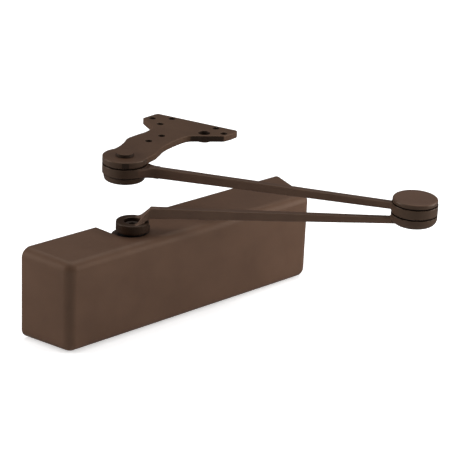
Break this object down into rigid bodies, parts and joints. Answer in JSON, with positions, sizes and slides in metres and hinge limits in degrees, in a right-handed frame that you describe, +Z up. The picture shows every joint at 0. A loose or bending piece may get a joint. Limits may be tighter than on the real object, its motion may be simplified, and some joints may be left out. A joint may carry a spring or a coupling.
{
  "type": "door closer",
  "caption": "Surface-mounted hydraulic door closer with a tapered box cover, a rack-and-pinion body, a two-piece parallel arm and a drilled soffit bracket.",
  "frame": {"origin": "on the casting's mounting face, straight behind the spindle axis, at the cover's half height", "axes": "+X along the closer from the spindle end to the spring end, +Y out of the mounting face into the door, +Z up along the spindle"},
  "size_m": [0.3146, 0.3251, 0.1337],
  "materials": {
    "cover": "satin dark bronze, fine moulded grain",
    "arm": "satin dark bronze paint on forged steel",
    "iron": "sand-cast, sealed",
    "steel": "ground",
    "screw": "dark oxide",
    "bronze": "sintered",
    "rubber": "moulded",
    "polymer": "moulded"
  },
  "bodies": {
    "closer": {"cover": "cover", "cover_screw_1": "screw", "cover_screw_2": "screw", "body_casting": "iron", "end_cap_left": "steel", "end_cap_right": "steel", "end_seal_left": "rubber", "end_seal_right": "rubber", "upper_bearing": "steel", "lower_bearing": "steel", "upper_bearing_cap": "iron", "spindle_seal": "rubber", "lower_bearing_cap": "iron", "spring_outer": "steel", "spring_inner": "steel"},
    "main_arm": {"spindle": "steel", "main_arm": "arm", "arm_screw": "screw", "elbow_pin": "steel", "elbow_cap": "arm", "elbow_lower_washer": "polymer", "elbow_upper_washer": "polymer"},
    "piston": {"piston": "steel", "piston_ring_left": "polymer", "piston_ring_right": "polymer", "check_ball": "steel", "check_ball_retainer": "steel"},
    "forearm": {"forearm": "arm", "elbow_bush": "bronze", "bracket_bush": "bronze"},
    "bracket": {"soffit_bracket": "arm", "bracket_stud": "arm", "bracket_retainer": "arm", "bracket_lower_washer": "polymer", "bracket_upper_washer": "polymer"},
    "adjuster": {"spring_adjuster": "steel"},
    "spring_seat": {"spring_seat": "steel"},
    "backcheck_valve": {"backcheck_valve": "steel"},
    "sweep_valve": {"sweep_valve": "steel"},
    "latch_valve": {"latch_valve": "steel"}
  },
  "joints": [
    {"name": "spindle_turn", "type": "hinge", "parent": "closer", "child": "main_arm", "pos_m": [0, -0.026, 0], "axis": [0, 0, 1], "range_deg": [-180, 0], "stiffness_Nm_per_rad": 8},
    {"name": "piston_slide", "type": "slide", "parent": "closer", "child": "piston", "axis": [1, 0, 0], "range_m": [0, 0.033], "deforming": ["spring_outer", "spring_inner"]},
    {"name": "elbow_pivot", "type": "hinge", "parent": "main_arm", "child": "forearm", "pos_m": [0.19119, -0.1897, 0], "axis": [0, 0, 1], "range_deg": [-160, 15]},
    {"name": "bracket_pivot", "type": "hinge", "parent": "forearm", "child": "bracket", "pos_m": [0.04299, 0.03957, 0], "axis": [0, 0, 1], "range_deg": [-50, 120]},
    {"name": "adjuster_turn", "type": "hinge", "parent": "closer", "child": "adjuster", "pos_m": [0.19, -0.026, -0.002], "axis": [1, 0, 0], "range_deg": [-1080, 3240]},
    {"name": "seat_slide", "type": "slide", "parent": "closer", "child": "spring_seat", "axis": [1, 0, 0], "range_m": [-0.0145, 0.0053]},
    {"name": "backcheck_turn", "type": "hinge", "parent": "closer", "child": "backcheck_valve", "pos_m": [-0.054, -0.046, 0.026], "axis": [0, -1, 0], "range_deg": [-360, 720]},
    {"name": "sweep_turn", "type": "hinge", "parent": "closer", "child": "sweep_valve", "pos_m": [-0.041, -0.046, 0.026], "axis": [0, -1, 0], "range_deg": [-360, 720]},
    {"name": "latch_turn", "type": "hinge", "parent": "closer", "child": "latch_valve", "pos_m": [-0.028, -0.046, 0.026], "axis": [0, -1, 0], "range_deg": [-360, 720]}
  ],
  "couplings": [
    {"joint": "piston_slide", "follows": "spindle_turn", "m_per_rad": -0.0105},
    {"joint": "seat_slide", "follows": "adjuster_turn", "m_per_rad": -0.00023873}
  ]
}
